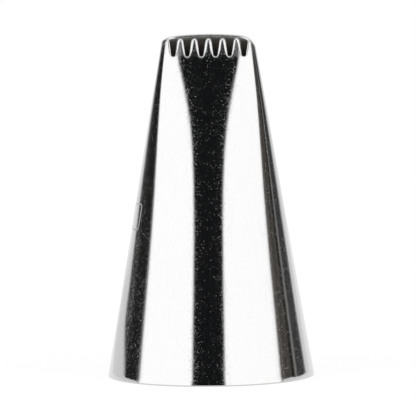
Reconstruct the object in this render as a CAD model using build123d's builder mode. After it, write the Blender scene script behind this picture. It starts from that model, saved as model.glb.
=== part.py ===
from build123d import *
import math
import os

# A basket-weave piping nozzle, drawn from one piece of stainless sheet, in millimetres.
# It stands on its wide base: the origin is the centre of the base rim and +Z runs up the axis.
# The outlet slot is long along X, with its toothed lip on the -Y side and a plain lip on +Y.

# Body, measured on its outside
body_height = 30.0           # base rim to the crest of the plain lip
wall = 0.4                   # sheet thickness
base_radius = 9.07           # where the cone would meet the table without its rounded edge
slot_half_width = 3.99
slot_half_depth = 1.5

# How fast the body narrows, in mm of radius per mm of height
side_taper_at_base = 0.176
side_taper_at_slot = 0.168
face_taper_at_base = 0.2
face_taper_at_slot = 0.22

# Half of the angle that the front or back face turns through, in degrees
face_turn_at_base = 45.0
face_turn_at_slot = 8.4

section_count = 9            # cross-sections that the skin is drawn through

# Lips
lip_crest = 0.2              # the plain lip's middle above its ends and above the teeth
notch_count = 6
end_tooth_width = 0.62       # from the slot's end to the first notch
notch_depth = 1.7
notch_bottom_radius = 0.16
notch_mouth_half_width = 0.29
tooth_tip_radius = 0.28      # less where a narrow tooth leaves no room for it

base_edge_radius = 0.25      # rounding of the base rim's outer edge
trim_margin = 1.0            # how far the cutting shapes run past the metal


def narrowing(start, end, start_taper, end_taper, share):
    """A smooth cubic from start to end that leaves and arrives at the given tapers."""
    start_part = start * (2 * share**3 - 3 * share**2 + 1)
    end_part = end * (3 * share**2 - 2 * share**3)
    leaving = start_taper * body_height * (share**3 - 2 * share**2 + share)
    arriving = end_taper * body_height * (share**3 - share**2)
    return start_part + end_part - leaving - arriving


def section(share, inset):
    """A closed outline of four tangent arcs: two faces and two ends, a full circle at the base."""
    half_width = narrowing(
        base_radius, slot_half_width, side_taper_at_base, side_taper_at_slot, share
    )
    half_depth = narrowing(
        base_radius, slot_half_depth, face_taper_at_base, face_taper_at_slot, share
    )
    turn = face_turn_at_base + (face_turn_at_slot - face_turn_at_base) * share
    sine = math.sin(math.radians(turn))
    cosine = math.cos(math.radians(turn))
    radius_step = (half_width - half_depth) / (sine + cosine - 1)
    end_radius = half_width - radius_step * sine
    face_radius = end_radius + radius_step
    end_centre = half_width - end_radius
    face_centre = face_radius - half_depth

    with BuildSketch(Plane.XY.offset(body_height * share)) as outline:
        with BuildLine():
            CenterArc((0, face_centre), face_radius - inset, 270 - turn, 2 * turn)
            CenterArc((end_centre, 0), end_radius - inset, turn - 90, 180 - 2 * turn)
            CenterArc((0, -face_centre), face_radius - inset, 90 - turn, 2 * turn)
            CenterArc((-end_centre, 0), end_radius - inset, 90 + turn, 180 - 2 * turn)
        make_face()
    return outline.sketch


shares = [step / (section_count - 1) for step in range(section_count)]
tooth_height = body_height - lip_crest
notch_row = 2 * (slot_half_width - end_tooth_width - notch_mouth_half_width)
notch_pitch = notch_row / (notch_count - 1)
tooth_width = notch_pitch - 2 * notch_mouth_half_width

# One notch, drawn with the middle of its mouth at the sketch's origin
notch_shoulder = notch_bottom_radius - notch_depth
with BuildSketch() as notch:
    with BuildLine():
        ThreePointArc(
            (-notch_bottom_radius, notch_shoulder),
            (0, -notch_depth),
            (notch_bottom_radius, notch_shoulder),
        )
        Polyline(
            (notch_bottom_radius, notch_shoulder),
            (notch_mouth_half_width, 0),
            (notch_mouth_half_width, trim_margin),
            (-notch_mouth_half_width, trim_margin),
            (-notch_mouth_half_width, 0),
            (-notch_bottom_radius, notch_shoulder),
        )
    make_face()

with BuildPart() as nozzle:
    loft([section(share, 0) for share in shares])
    loft([section(share, wall) for share in shares], mode=Mode.SUBTRACT)

    # The base rim's outer edge is rounded
    with BuildSketch(Plane.XZ):
        with BuildLine():
            CenterArc((base_radius - base_edge_radius, base_edge_radius), base_edge_radius, -90, 90)
            Polyline(
                (base_radius, base_edge_radius),
                (base_radius + trim_margin, base_edge_radius),
                (base_radius + trim_margin, -trim_margin),
                (base_radius - base_edge_radius, -trim_margin),
                (base_radius - base_edge_radius, 0),
            )
        make_face()
    revolve(axis=Axis.Z, mode=Mode.SUBTRACT)

    # Both lips are trimmed to a low arch
    with BuildSketch(Plane.XZ):
        with BuildLine():
            ThreePointArc(
                (-slot_half_width, tooth_height), (0, body_height), (slot_half_width, tooth_height)
            )
            Polyline(
                (slot_half_width, tooth_height),
                (slot_half_width, body_height + trim_margin),
                (-slot_half_width, body_height + trim_margin),
                (-slot_half_width, tooth_height),
            )
        make_face()
    extrude(amount=slot_half_depth + trim_margin, both=True, mode=Mode.SUBTRACT)

    # The front lip is cut level, with round-bottomed notches between its teeth
    with BuildSketch(Plane.XZ) as front_cut:
        with Locations((0, tooth_height)):
            Rectangle(
                2 * (slot_half_width + trim_margin),
                lip_crest + trim_margin,
                align=(Align.CENTER, Align.MIN),
            )
            with GridLocations(notch_pitch, 0, notch_count, 1):
                add(notch.sketch)
        tip_corners = front_cut.vertices().group_by(Axis.Y)[-2].sort_by(Axis.X)[1:-1]
        fillet(tip_corners, min(tooth_tip_radius, 0.45 * tooth_width))
    extrude(amount=base_radius, mode=Mode.SUBTRACT)

nozzle.part.label = "nozzle"
os.makedirs("parts", exist_ok=True)
export_step(nozzle.part, "parts/nozzle.step")
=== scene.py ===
import bpy
import math
import numpy as np
from mathutils import Matrix, Vector


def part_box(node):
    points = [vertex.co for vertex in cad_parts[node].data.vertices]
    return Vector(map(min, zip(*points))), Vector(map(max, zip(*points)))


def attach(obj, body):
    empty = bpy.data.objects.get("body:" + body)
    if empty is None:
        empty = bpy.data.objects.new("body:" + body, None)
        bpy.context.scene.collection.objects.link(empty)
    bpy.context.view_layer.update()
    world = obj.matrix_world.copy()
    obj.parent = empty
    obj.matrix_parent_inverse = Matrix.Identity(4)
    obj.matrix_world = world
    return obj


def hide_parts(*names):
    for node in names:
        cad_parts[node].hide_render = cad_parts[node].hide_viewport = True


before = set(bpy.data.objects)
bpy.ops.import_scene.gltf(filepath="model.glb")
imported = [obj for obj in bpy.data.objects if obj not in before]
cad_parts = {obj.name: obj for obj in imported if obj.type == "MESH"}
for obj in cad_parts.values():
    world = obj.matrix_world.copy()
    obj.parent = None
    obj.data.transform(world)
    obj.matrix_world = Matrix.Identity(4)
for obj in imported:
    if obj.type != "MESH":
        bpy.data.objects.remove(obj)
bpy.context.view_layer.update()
cadLow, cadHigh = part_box("nozzle")
mm = 0.001
nozzleHeight = cadHigh.z / mm
print("frame loaded, nozzle height in mm", round(nozzleHeight, 2))


# Camera: on the toothed side, a little to the right of the slot's middle, rolled by half a degree
cameraSetup = {
    "azimuth": 2.1,       # degrees towards +X from straight in front
    "distance": 600.0,    # mm from the nozzle's axis
    "height": 68.0,       # mm above the table
    "aimHeight": 14.76,
    "aimRight": -0.15,
    "roll": 0.55,         # degrees, leans the nozzle to the left
    "sensor": 36.0,
    "lens": 594.2,
}


def makeCamera():
    setup = cameraSetup
    turn = math.radians(setup["azimuth"])
    right = Vector((math.cos(turn), math.sin(turn), 0))
    out = Vector((math.sin(turn), -math.cos(turn), 0))
    spot = (out * setup["distance"] + Vector((0, 0, setup["height"]))) * mm
    aim = (right * setup["aimRight"] + Vector((0, 0, setup["aimHeight"]))) * mm
    look = (aim - spot).to_track_quat("-Z", "Y").to_matrix().to_4x4()
    data = bpy.data.cameras.new("camera")
    data.sensor_width = setup["sensor"]
    data.lens = setup["lens"]
    data.clip_start = 0.01
    data.clip_end = 20
    camera = bpy.data.objects.new("camera", data)
    bpy.context.scene.collection.objects.link(camera)
    rolled = look @ Matrix.Rotation(math.radians(-setup["roll"]), 4, "Z")
    camera.matrix_world = Matrix.Translation(spot) @ rolled
    bpy.context.scene.camera = camera


makeCamera()
bpy.context.scene.view_settings.view_transform = "Standard"
print("camera set")


class Wire:
    # A node's output that Python's operators can do sums with; node() adds any other node
    def __init__(self, tree, socket=None):
        self.tree = tree
        self.socket = socket

    def node(self, kind, settings=None, inputs=None, output=0):
        made = self.tree.nodes.new(kind)
        for name, value in (settings or {}).items():
            if name == "stops":
                ramp = made.color_ramp.elements
                while len(ramp) < len(value):
                    ramp.new(0.5)
                for stop, (place, colour) in zip(ramp, value):
                    stop.position = place
                    stop.color = colour
            else:
                setattr(made, name, value)
        for name, value in (inputs or {}).items():
            if isinstance(value, Wire):
                self.tree.links.new(value.socket, made.inputs[name])
            else:
                made.inputs[name].default_value = value
        return Wire(self.tree, made.outputs[output]) if made.outputs else None

    def sum(self, operation, *values):
        return self.node("ShaderNodeMath", {"operation": operation}, dict(enumerate(values)))

    def step(self, low, high):
        # 0 below low, 1 above high, and a smooth rise between them
        span = {"Value": self, "From Min": low, "From Max": high}
        return self.node("ShaderNodeMapRange", {"interpolation_type": "SMOOTHSTEP"}, span)

    def __add__(self, other):
        return self.sum("ADD", self, other)

    def __sub__(self, other):
        return self.sum("SUBTRACT", self, other)

    def __rsub__(self, other):
        return self.sum("SUBTRACT", other, self)

    def __mul__(self, other):
        return self.sum("MULTIPLY", self, other)

    def __truediv__(self, other):
        return self.sum("DIVIDE", self, other)

    __radd__ = __add__
    __rmul__ = __mul__


def emptyTree(holder):
    holder.use_nodes = True
    holder.node_tree.nodes.clear()
    return Wire(holder.node_tree)


# Studio: brightness seen in the steel, by compass degrees. 0 is in front of the teeth and + is
# towards +X: two soft boxes with an unlit gap between them, a dark flag past each, and pale walls.
studio = {
    "wall": 1.02,    # what the camera sees behind the nozzle
    "ring": [        # degrees, brightness, warmth
        (-180, 0.95, 0), (-156, 0.85, 0), (-144, 0.62, 0), (-136, 0.25, 0), (-129, 0.08, 0.02),
        (-120, 0.035, 0.03), (-109, 0.018, 0.03), (-92.5, 0.018, 0.03), (-89.5, 0.1, 0), (-87.2, 0.62, 0),
        (-85.4, 1.4, 0), (-82, 1.53, 0), (-21.4, 1.53, 0), (-18.7, 0.009, -0.08), (16.4, 0.009, -0.08),
        (19.2, 1.53, 0), (81, 1.51, 0), (86, 1.36, 0), (88.6, 0.3, 0.05), (89.8, 0.09, 0.08),
        (92.5, 0.13, 0.08), (96, 0.06, 0.1), (103.5, 0.085, 0.1), (106.5, 0.014, 0.08), (110, 0.03, 0.04),
        (113, 0.34, 0.03),
        (116, 0.06, 0), (130, 0.045, -0.03), (134.5, 0.2, 0), (139, 0.62, 0), (147, 0.84, 0), (180, 0.95, 0)],
    # each flag's foot: compass degrees from and to, where it starts to fall, and its top above the table
    "flagFeet": [(-180, -90, 114.5, 4.6), (90, 180, 105, 5.6)],
    "footHeight": 1.9,      # degrees above the table that the foot falls towards
    "footRise": 3.2,        # degrees above that where it starts to fall
    "footFall": 9.0,        # compass degrees over which it falls to about a third
    "underFlag": 0.86,      # pale table seen below a flag
    "overhead": 1.05,
    "overheadFrom": 48.0,   # degrees above the table where the overhead light begins
    "overheadTo": 66.0,
}


# The ring of lights and walls, then over it the pale feet below the flags, the overhead light and
# what the camera sees
def lightStudio():
    world = bpy.data.worlds.new("studio")
    bpy.context.scene.world = world
    board = emptyTree(world)
    way = board.node("ShaderNodeTexCoord", output="Generated")
    x = board.node("ShaderNodeSeparateXYZ", None, {0: way}, "X")
    y = board.node("ShaderNodeSeparateXYZ", None, {0: way}, "Y")
    z = board.node("ShaderNodeSeparateXYZ", None, {0: way}, "Z")
    turned = board.sum("ARCTAN2", x, 0 - y) * math.degrees(1)
    raised = board.sum("ARCSINE", z) * math.degrees(1)
    stops = [((turn + 180) / 360, (glow * (1 + warm) / 2, glow / 2, glow * (1 - warm) / 2, 1))
             for turn, glow, warm in studio["ring"]]
    light = board.node("ShaderNodeValToRGB", {"stops": stops}, {0: turned / 360 + 0.5})

    def lay(share, brightness):
        layers = {"Factor": share, "A": light, "B": (brightness / 2, brightness / 2, brightness / 2, 1)}
        return board.node("ShaderNodeMix", {"data_type": "RGBA"}, layers, "Result")

    for start, end, fallFrom, top in studio["flagFeet"]:
        past = board.sum("ABSOLUTE", turned) - fallFrom
        foot = board.sum("EXPONENT", past / -studio["footFall"]) * studio["footRise"] + studio["footHeight"]
        foot = board.sum("MINIMUM", foot, top)
        beside = turned.step(start - 1, start) * (1 - turned.step(end, end + 1))
        light = lay(beside * (1 - (raised - foot).step(-0.5, 0.4)), studio["underFlag"])
    light = lay(raised.step(studio["overheadFrom"], studio["overheadTo"]), studio["overhead"])
    light = lay(board.node("ShaderNodeLightPath", output="Is Camera Ray"), studio["wall"])
    glow = board.node("ShaderNodeBackground", None, {"Color": light, "Strength": 2.0})
    board.node("ShaderNodeOutputWorld", None, {"Surface": glow})


# Table: pale, even and glowing. Inside a circle under the nozzle's mouth the glow is cut off, a painted
# shade, and only a little true shading of its own is left there
table = {
    "size": 6.0,             # metres
    "glow": 0.9,
    "tone": 0.12,
    "paintedShadeRadius": 8.82,     # mm from the axis, inside which the glow is cut off: painted shade under the nozzle's hollow
}


def makeTable():
    half = table["size"] / 2
    mesh = bpy.data.meshes.new("table")
    corners = [(-half, -half, 0), (half, -half, 0), (half, half, 0), (-half, half, 0)]
    mesh.from_pydata(corners, [], [(0, 1, 2, 3)])
    plane = bpy.data.objects.new("table", mesh)
    bpy.context.scene.collection.objects.link(plane)
    material = bpy.data.materials.new("paleTable")
    board = emptyTree(material)
    spot = board.node("ShaderNodeTexCoord", output="Object")
    away = board.node("ShaderNodeVectorMath", {"operation": "LENGTH"}, {0: spot}, "Value")
    # painted shade: the glow is taken away inside the nozzle's footprint, a dark disk where its hollow would
    # shade the table
    glowOutsidePaintedShade = away.step(table["paintedShadeRadius"] * mm * 0.985, table["paintedShadeRadius"] * mm)
    pale = (table["tone"], table["tone"], table["tone"], 1)
    matt = board.node("ShaderNodeBsdfDiffuse", None, {"Color": pale})
    glow = board.node("ShaderNodeEmission", None, {"Strength": table["glow"]})
    lit = board.node("ShaderNodeAddShader", None, {0: matt, 1: glow})
    both = board.node("ShaderNodeMixShader", None, {0: glowOutsidePaintedShade, 1: matt, 2: lit})
    board.node("ShaderNodeOutputMaterial", None, {"Surface": both})
    mesh.materials.append(material)


# A low pale card on the table behind the nozzle's left side, that widens the pale reflection near the
# base. Only the steel reflects it: no camera sees it.
card = {
    "radius": 77.0,
    "height": 9.5,
    "fade": 2.4,             # mm over which its top edge goes soft
    "ends": (-153.0, -106.0),    # compass degrees
    "glow": 0.86,
}


def makeCard():
    turn = np.radians(np.linspace(*card["ends"], 25))
    foot = np.stack([np.sin(turn), -np.cos(turn), 0 * turn], -1) * card["radius"] * mm
    points = np.concatenate([foot, foot + (0, 0, card["height"] * mm)]).tolist()
    count = len(turn)
    faces = [(k, k + 1, count + k + 1, count + k) for k in range(count - 1)]
    mesh = bpy.data.meshes.new("card")
    mesh.from_pydata(points, [], faces)
    strip = bpy.data.objects.new("card", mesh)
    strip.visible_camera = False
    bpy.context.scene.collection.objects.link(strip)
    material = bpy.data.materials.new("paleCard")
    board = emptyTree(material)
    spot = board.node("ShaderNodeTexCoord", output="Object")
    height = board.node("ShaderNodeSeparateXYZ", None, {0: spot}, "Z") / mm
    gone = height.step(card["height"] - card["fade"], card["height"])
    glow = board.node("ShaderNodeEmission", None, {"Strength": card["glow"]})
    clear = board.node("ShaderNodeBsdfTransparent")
    both = board.node("ShaderNodeMixShader", None, {0: gone, 1: glow, 2: clear})
    board.node("ShaderNodeOutputMaterial", None, {"Surface": both})
    mesh.materials.append(material)


lightStudio()
makeTable()
makeCard()
print("studio lit")


# The nozzle's sheet, in mm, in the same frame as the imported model
sheet = {
    "halfWidths": (9.09, 7.29, 5.76, 3.96),               # guides of a Bezier curve up the sides
    "halfDepths": (9.09, 7.44, 6.22, 5.32, 2.2, 1.25),    # the same up the front and back faces
    "rollShares": (0.65, 0.66, 0.6, 0.84),   # share of the half depth that is the circle's radius
    "wall": 0.4,
    "rimReach": 0.26,        # how far the rim's buffed rounding runs down the face
    "bottomReach": 0.08,     # the same at the notches' bottoms, where the buff doesn't get in
    "baseReach": 0.13,       # the same at the base
    "lipCrest": 0.26,        # rise of the plain lip's middle
    "endDrops": (0.12, 0.5), # fall of the rim at the slot's left and right ends
    "endShape": 14,          # the higher, the shorter the fall
    "notchCount": 6,
    "notchPitch": 1.235,
    "notchDepth": 1.56,
    "notchRadius": 0.15,
    "tipRadius": 0.30,
    "rowShift": 0.07,        # the punch stood this far to the right
    "polishedUnshadedRim": 0.15,        # how far the outside's polish reaches down inside the rim
    "rootGap": 0.35,         # how far the outside's polish and bright colour reach down inside the rim; deeper in, the inside is rougher and its dark colour is painted shade
    "toothFade": 0.35,       # height over which the teeth's duller skin turns into the body's
}
gridCounts = {"plain": 190, "tip": 9, "flank": 12, "bottom": 7, "wallRows": 64, "toothRows": 10,
              "edgeRows": 12, "innerRows": 34, "lipRows": 10}


# A Bezier curve through evenly spaced guides up the nozzle: the sum of each guide times the number
# of ways to choose it times t^i (1 - t)^(n - i), where t is the share of the height
def guided(guides, z):
    t = z / nozzleHeight
    n = len(guides) - 1
    return sum(math.comb(n, i) * t**i * (1 - t)**(n - i) * guide for i, guide in enumerate(guides))


# A level section is an ellipse rolled round by a circle. These are the ellipse's half axes and the
# circle's radius, and the root of (a sin)^2 + (b cos)^2 for a point whose skin faces the given way.
def sectionSizes(facing, z):
    halfDepth = guided(sheet["halfDepths"], z)
    rolled = guided(sheet["rollShares"], z) * halfDepth
    a = guided(sheet["halfWidths"], z) - rolled
    b = halfDepth - rolled
    return a, b, rolled, np.sqrt((a * np.sin(facing))**2 + (b * np.cos(facing))**2)


# Point of the sheet at a facing, a height and a level depth into the metal: a^2 / root and b^2 / root
# plus what is left of the circle's radius, along the sine and the cosine of the facing
def sheetPoint(facing, z, depth=0.0):
    a, b, rolled, root = sectionSizes(facing, z)
    x = (rolled - depth + a * a / root) * np.sin(facing)
    y = -(rolled - depth + b * b / root) * np.cos(facing)
    return np.stack([x, y, z + 0 * x], -1)


# Facing on the toothed side where the skin is at the given sideways place, by halving
def facingAt(x, z, depth=0.0):
    low = np.full(np.shape(x), -math.pi / 2)
    high = -low
    for _ in range(40):
        middle = (low + high) / 2
        under = sheetPoint(middle, z, depth)[..., 0] < x
        low = np.where(under, middle, low)
        high = np.where(under, high, middle)
    return (low + high) / 2


# Polished steel, sizes in mm. The size mark is a plain rounded frame, etched near the left edge.
steel = {
    "colour": (0.64, 0.64, 0.638, 1),
    "dullColour": (0.58, 0.58, 0.575, 1),
    # painted shade: the inside below the rim gets this dark colour for the shade in the hollow
    "innerPaintedShadeColour": (0.15, 0.135, 0.12, 1),
    "roughness": 0.04,
    "innerRoughness": 0.38,
    "edgeRoughness": 0.19,   # added on the rim's buffed edge
    "toothBuff": 0.6,        # share of it on the teeth's faces
    "mottle": 0.14,          # roughness that comes and goes with the fine grain
    "grainPerMm": 9.0,
    "grainHeight": 0.0002,
    "lines": 30.0,           # drawing lines across each unit of turn
    "lineHeight": 0.0004,
    "lineSquash": 0.012,     # how little the drawing lines change up the nozzle
    "wavesPerMm": 0.7,       # the hammered-flat look of hand buffing
    "waveHeight": 0.0012,
    "pitsPerMm": 3.4,
    "pitSize": 0.2,          # share of a pit's cell
    "pitDepth": 0.001,
    "pitRoughness": 0.28,
    "specksPerMm": 8.0,      # finer than pits and without depth
    "speckSize": 0.38,
    "speckRoughness": 0.31,
    "scratchPerMm": 0.42,
    "scratchWidth": 0.0035,
    "scratchDepth": 0.0009,
}
mark = {
    "facing": -70.0,         # degrees, 0 is in front of the teeth
    "height": 14.2,
    "halfWidth": 0.85,
    "halfHeight": 1.1,
    "corner": 0.35,
    "line": 0.07,
    "depth": 0.012,
}


# Share of an etched line at a point: a rounded frame, from the distance to a rounded rectangle's outline
def markLine(board, spot):
    facing = np.array(math.radians(mark["facing"]))
    centre = sheetPoint(facing, mark["height"]).tolist()
    across = (math.cos(facing), math.sin(facing), 0)
    outward = (math.sin(facing), -math.cos(facing), 0)
    apart = board.node("ShaderNodeVectorMath", {"operation": "SUBTRACT"}, {0: spot, 1: centre})
    dot = {"operation": "DOT_PRODUCT"}
    side, up, out = (board.node("ShaderNodeVectorMath", dot, {0: apart, 1: way}, "Value")
                     for way in (across, (0, 0, 1), outward))
    x = board.sum("ABSOLUTE", side) - (mark["halfWidth"] - mark["corner"])
    y = board.sum("ABSOLUTE", up) - (mark["halfHeight"] - mark["corner"])
    outX, outY = board.sum("MAXIMUM", x, 0.0), board.sum("MAXIMUM", y, 0.0)
    outside = board.sum("SQRT", outX * outX + outY * outY)
    inside = board.sum("MINIMUM", board.sum("MAXIMUM", x, y), 0.0)
    away = board.sum("ABSOLUTE", outside + inside - mark["corner"])
    return (1 - away.step(mark["line"] * 0.5, mark["line"])) * (out + 1.0).step(0.0, 0.1)


def polishedSteel():
    material = bpy.data.materials.new("polishedSteel")
    board = emptyTree(material)
    metres = board.node("ShaderNodeTexCoord", output="Object")
    spot = board.node("ShaderNodeVectorMath", {"operation": "SCALE"}, {0: metres, "Scale": 1 / mm})
    inner = board.node("ShaderNodeAttribute", {"attribute_name": "innerShare"}, output="Fac")
    edge = board.node("ShaderNodeAttribute", {"attribute_name": "edgeShare"}, output="Fac")
    turned = board.node("ShaderNodeAttribute", {"attribute_name": "grain"}, output="Vector")

    def noise(way, scale, detail=2.0):
        return board.node("ShaderNodeTexNoise", None, {"Vector": way, "Scale": scale, "Detail": detail}, 0)

    def dots(scale, size, rarity):
        # one dot to a cell, and only in the cells whose random number is above the rarity
        cell = {"Vector": spot, "Scale": scale}
        near = board.node("ShaderNodeTexVoronoi", None, cell, "Distance")
        cast = board.node("ShaderNodeTexVoronoi", None, cell, "Color")
        chance = board.node("ShaderNodeSeparateColor", None, {0: cast}, "Red")
        return (1 - near.step(size * 0.3, size)) * chance.step(rarity, 1.0)

    grain = noise(spot, steel["grainPerMm"], 3.0)
    lines = noise(turned, steel["lines"], 3.0)
    waves = noise(spot, steel["wavesPerMm"], 1.0)
    pits = dots(steel["pitsPerMm"], steel["pitSize"], 0.6)
    specks = dots(steel["specksPerMm"], steel["speckSize"], 0.35) * noise(spot, 1.3, 1.0).step(0.25, 0.55)
    drift = board.sum("ABSOLUTE", noise(spot, steel["scratchPerMm"], 1.0) - 0.5)
    places = noise(spot, steel["scratchPerMm"] * 2.3, 0.0).step(0.58, 0.66)
    scratches = (1 - drift.step(0.0, steel["scratchWidth"])) * places
    etched = markLine(board, spot)

    dull = board.sum("MAXIMUM", etched, 0.5 * (0.5 * (lines + grain)).step(0.5, 0.75))
    outer = board.node("ShaderNodeMix", {"data_type": "RGBA"},
                       {"Factor": dull, "A": steel["colour"], "B": steel["dullColour"]}, "Result")
    # painted shade: the inside is tinted dark for the shade in the hollow; its rougher finish below is real
    tint = board.node("ShaderNodeMix", {"data_type": "RGBA"},
                      {"Factor": inner, "A": outer, "B": steel["innerPaintedShadeColour"]}, "Result")
    mottle = grain.step(0.45, 0.75) * steel["mottle"] + lines.step(0.55, 0.8) * 0.05
    rough = steel["roughness"] + mottle + pits * steel["pitRoughness"] + specks * steel["speckRoughness"]
    rough = rough + scratches * 0.12 + etched * 0.4 + edge * steel["edgeRoughness"]
    rough = rough * (1 - inner) + inner * (steel["innerRoughness"] + grain * 0.1)
    height = grain * steel["grainHeight"] + lines * steel["lineHeight"] + waves * steel["waveHeight"]
    height = height - pits * steel["pitDepth"] - scratches * steel["scratchDepth"] - etched * mark["depth"]
    bump = board.node("ShaderNodeBump", None, {"Height": height, "Distance": mm, "Strength": 1.0}, "Normal")
    surface = board.node("ShaderNodeBsdfPrincipled", None,
                         {"Base Color": tint, "Metallic": 1.0, "Roughness": rough, "Normal": bump})
    board.node("ShaderNodeOutputMaterial", None, {"Surface": surface})
    return material


# Half a tooth's outline from a notch's bottom to a tip's crest: an arc round the notch's bottom, the
# straight flank that touches both circles, and an arc over the tip. Each point has the way into the metal.
def halfTooth():
    half = sheet["notchPitch"] / 2
    low, tip = sheet["notchRadius"], sheet["tipRadius"]
    lowZ, tipZ = low - sheet["notchDepth"], -tip
    apart = math.hypot(half, tipZ - lowZ)
    lean = math.atan2(tipZ - lowZ, half) - math.acos((low + tip) / apart)
    turn = np.linspace(-math.pi / 2, lean, gridCounts["bottom"], endpoint=False)
    ways = [np.stack([np.cos(turn), np.sin(turn)], -1)]
    points = [np.array([0, lowZ]) + low * ways[0]]
    along = np.linspace(0, 1, gridCounts["flank"], endpoint=False)[:, None]
    flankWay = np.array([math.cos(lean), math.sin(lean)])
    start = np.array([0, lowZ]) + low * flankWay
    end = np.array([half, tipZ]) - tip * flankWay
    points.append(start + along * (end - start))
    ways.append(np.repeat(flankWay[None], gridCounts["flank"], 0))
    turn = np.linspace(lean, -math.pi / 2, gridCounts["tip"], endpoint=False)
    ways.append(np.stack([np.cos(turn), np.sin(turn)], -1))
    points.append(np.array([half, tipZ]) - tip * ways[2])
    return np.concatenate(points), np.concatenate(ways)


# The toothed lip's outline from the left end tooth's crest to the right one's
def toothedLip():
    points, ways = halfTooth()
    half = sheet["notchPitch"] / 2
    crest, crestWay = np.array([[half, 0.0]]), np.array([[0.0, -1.0]])
    fall = np.concatenate([crest, points[:0:-1]]) * (-1, 1)
    fallWay = np.concatenate([crestWay, ways[:0:-1]]) * (-1, 1)
    period = np.concatenate([fall, points])
    periodWay = np.concatenate([fallWay, ways])
    places = (np.arange(sheet["notchCount"]) - (sheet["notchCount"] - 1) / 2) * sheet["notchPitch"]
    lip = np.concatenate([period + (place + sheet["rowShift"], 0) for place in places])
    lipWay = np.tile(periodWay, (sheet["notchCount"], 1))
    return lip, lipWay


# How far the rim falls towards the slot's ends: the end's drop times a high power of the share of the way
def endFall(across):
    return np.where(across < 0, *sheet["endDrops"]) * np.abs(across)**sheet["endShape"]


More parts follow.
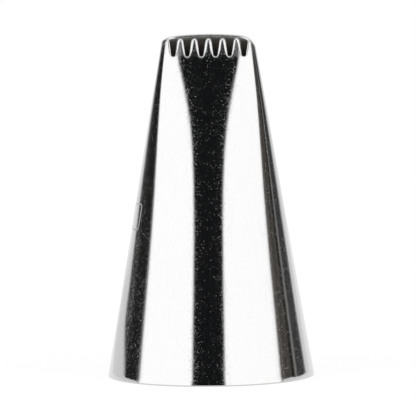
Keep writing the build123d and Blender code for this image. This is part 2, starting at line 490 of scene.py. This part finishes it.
# The whole mesh: one closed grid. Columns go once round the nozzle; rows go up the outside, over
# the rim's rounded edge, down the inside and round the base lip back to the start. An edge is half
# an ellipse: depth is half the wall times 1 - cos, height is the reach times 1 - sin.
def nozzleGrid():
    wall, rimReach, baseReach = sheet["wall"], sheet["rimReach"], sheet["baseReach"]
    toothTop = nozzleHeight - sheet["lipCrest"]
    slotEnd = sheet["halfWidths"][-1]
    buffed = sheet["bottomReach"] / rimReach
    lip, lipWay = toothedLip()
    frontX = lip[:, 0]
    frontZ = lip[:, 1] + toothTop - endFall(frontX / slotEnd)
    frontBuff = buffed + (1 - buffed) * np.clip(2.5 * (1 + lip[:, 1] / sheet["notchDepth"]), 0, 1)
    lastX = frontX[0] + sheet["notchPitch"] * sheet["notchCount"]
    firstFacing = facingAt(np.array(frontX[0]), toothTop)
    lastFacing = facingAt(np.array(lastX), toothTop)

    # Columns of the ends and the plain lip, spaced by a mix of length and turn
    fine = np.linspace(lastFacing, firstFacing + 2 * math.pi, 2000)
    skin = sheetPoint(fine, toothTop)
    length = np.concatenate([[0], np.cumsum(np.linalg.norm(np.diff(skin, axis=0), axis=1))])
    measure = length + 2.5 * (fine - fine[0])
    backFacing = np.interp(np.linspace(0, measure[-1], gridCounts["plain"], endpoint=False), measure, fine)
    across = sheetPoint(backFacing, toothTop)[:, 0] / slotEnd
    rise = np.where(np.cos(backFacing) < 0, sheet["lipCrest"] * (1 - across**2), 0)
    backZ = toothTop + rise - endFall(across)

    bottomZ = toothTop - sheet["notchDepth"]
    rootZ = bottomZ - rimReach - sheet["rootGap"]
    rootEnds = sheetPoint(np.array([firstFacing, lastFacing]), rootZ)[:, 0]
    rootX = np.linspace(*rootEnds, len(frontX), endpoint=False)
    rootFacing = np.concatenate([facingAt(rootX, rootZ), backFacing])
    rimZ = np.concatenate([frontZ, backZ])
    rows = []
    inners = []
    edges = []
    grains = []
    onTeeth = np.arange(len(rimZ)) < len(frontX)

    def addRow(facing, z, depth, edge=0.0):
        point = sheetPoint(facing, z, depth)
        below = np.clip((rimZ - point[:, 2] - sheet["polishedUnshadedRim"]) / sheet["polishedUnshadedRim"], 0, 1)
        level = point[:, 0] / guided(sheet["halfWidths"], z), point[:, 1] / guided(sheet["halfDepths"], z)
        spread = np.arctan2(*level)
        rows.append(point)
        # share of the inside: rougher there, and painted dark as shade
        inners.append(below * depth / wall)
        toothShare = np.clip(0.5 + (point[:, 2] - bottomZ) / sheet["toothFade"], 0, 1) * onTeeth
        edges.append(np.maximum(edge, steel["toothBuff"] * toothShare))
        grains.append(np.stack([np.sin(spread), np.cos(spread), point[:, 2] * steel["lineSquash"]], -1))

    def rimRow(inset, depth):
        x = frontX + inset * frontBuff * lipWay[:, 0]
        z = frontZ + inset * frontBuff * lipWay[:, 1]
        return np.concatenate([facingAt(x, z, depth), backFacing]), np.concatenate([z, backZ - inset])

    def addToothRows(shares, depth):
        facing, z = rimRow(rimReach, depth)
        for share in shares:
            addRow(rootFacing + share * (facing - rootFacing), rootZ + share * (z - rootZ), depth, share**4)

    for z in np.linspace(baseReach, rootZ, gridCounts["wallRows"], endpoint=False):
        addRow(rootFacing, z, 0.0)
    addToothRows(np.linspace(0, 1, gridCounts["toothRows"], endpoint=False), 0.0)
    for turn in np.linspace(0, math.pi, gridCounts["edgeRows"], endpoint=False):
        depth = wall / 2 * (1 - math.cos(turn))
        facing, z = rimRow(rimReach * (1 - math.sin(turn)), depth)
        addRow(facing, z, depth, 1.0)
    addToothRows(np.linspace(1, 0, gridCounts["toothRows"], endpoint=False), wall)
    for z in np.linspace(rootZ, baseReach, gridCounts["innerRows"], endpoint=False):
        addRow(rootFacing, z, wall)
    for turn in np.linspace(math.pi, 0, gridCounts["lipRows"], endpoint=False):
        addRow(rootFacing, baseReach * (1 - math.sin(turn)), wall / 2 * (1 - math.cos(turn)))
    return np.array(rows), np.array(inners), np.array(edges), np.array(grains)


# A closed grid of four-sided faces: each row joins the next and the last joins the first
def gridFaces(rowCount, columnCount):
    row, column = np.meshgrid(np.arange(rowCount), np.arange(columnCount), indexing="ij")
    up, along = (row + 1) % rowCount, (column + 1) % columnCount
    corners = [row * columnCount + column, row * columnCount + along,
               up * columnCount + along, up * columnCount + column]
    return np.stack(corners, -1).reshape(-1, 4)


def meshObject(name, points, faces):
    data = bpy.data.meshes.new(name)
    data.vertices.add(len(points))
    data.vertices.foreach_set("co", np.ascontiguousarray(points, np.float32).ravel())
    data.loops.add(faces.size)
    data.loops.foreach_set("vertex_index", faces.astype(np.int32).ravel())
    data.polygons.add(len(faces))
    data.polygons.foreach_set("loop_start", np.arange(0, faces.size, 4, dtype=np.int32))
    data.update(calc_edges=True)
    data.validate()
    data.polygons.foreach_set("use_smooth", np.ones(len(faces), bool))
    made = bpy.data.objects.new(name, data)
    bpy.context.scene.collection.objects.link(made)
    return made


def makeNozzle():
    points, inners, edges, grains = nozzleGrid()
    faces = gridFaces(points.shape[0], points.shape[1])
    flat = points.reshape(-1, 3)
    a, b, c, d = (flat[faces[:, k]] for k in range(4))
    volume = np.einsum("ij,ij->", a, np.cross(b, c) + np.cross(c, d)) / 6
    if volume < 0:
        faces = faces[:, ::-1]
    print("nozzle grid", points.shape[:2], "metal in cubic mm", round(abs(volume), 1))
    piece = meshObject("polishedNozzle", flat * mm, faces)
    for name, kind, key, values in (("innerShare", "FLOAT", "value", inners),
                                    ("edgeShare", "FLOAT", "value", edges),
                                    ("grain", "FLOAT_VECTOR", "vector", grains)):
        layer = piece.data.attributes.new(name, kind, "POINT")
        layer.data.foreach_set(key, np.ascontiguousarray(values, np.float32).ravel())
    piece.data.materials.append(polishedSteel())
    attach(piece, "root")
    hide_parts("nozzle")
    return piece


makeNozzle()
print("nozzle made")
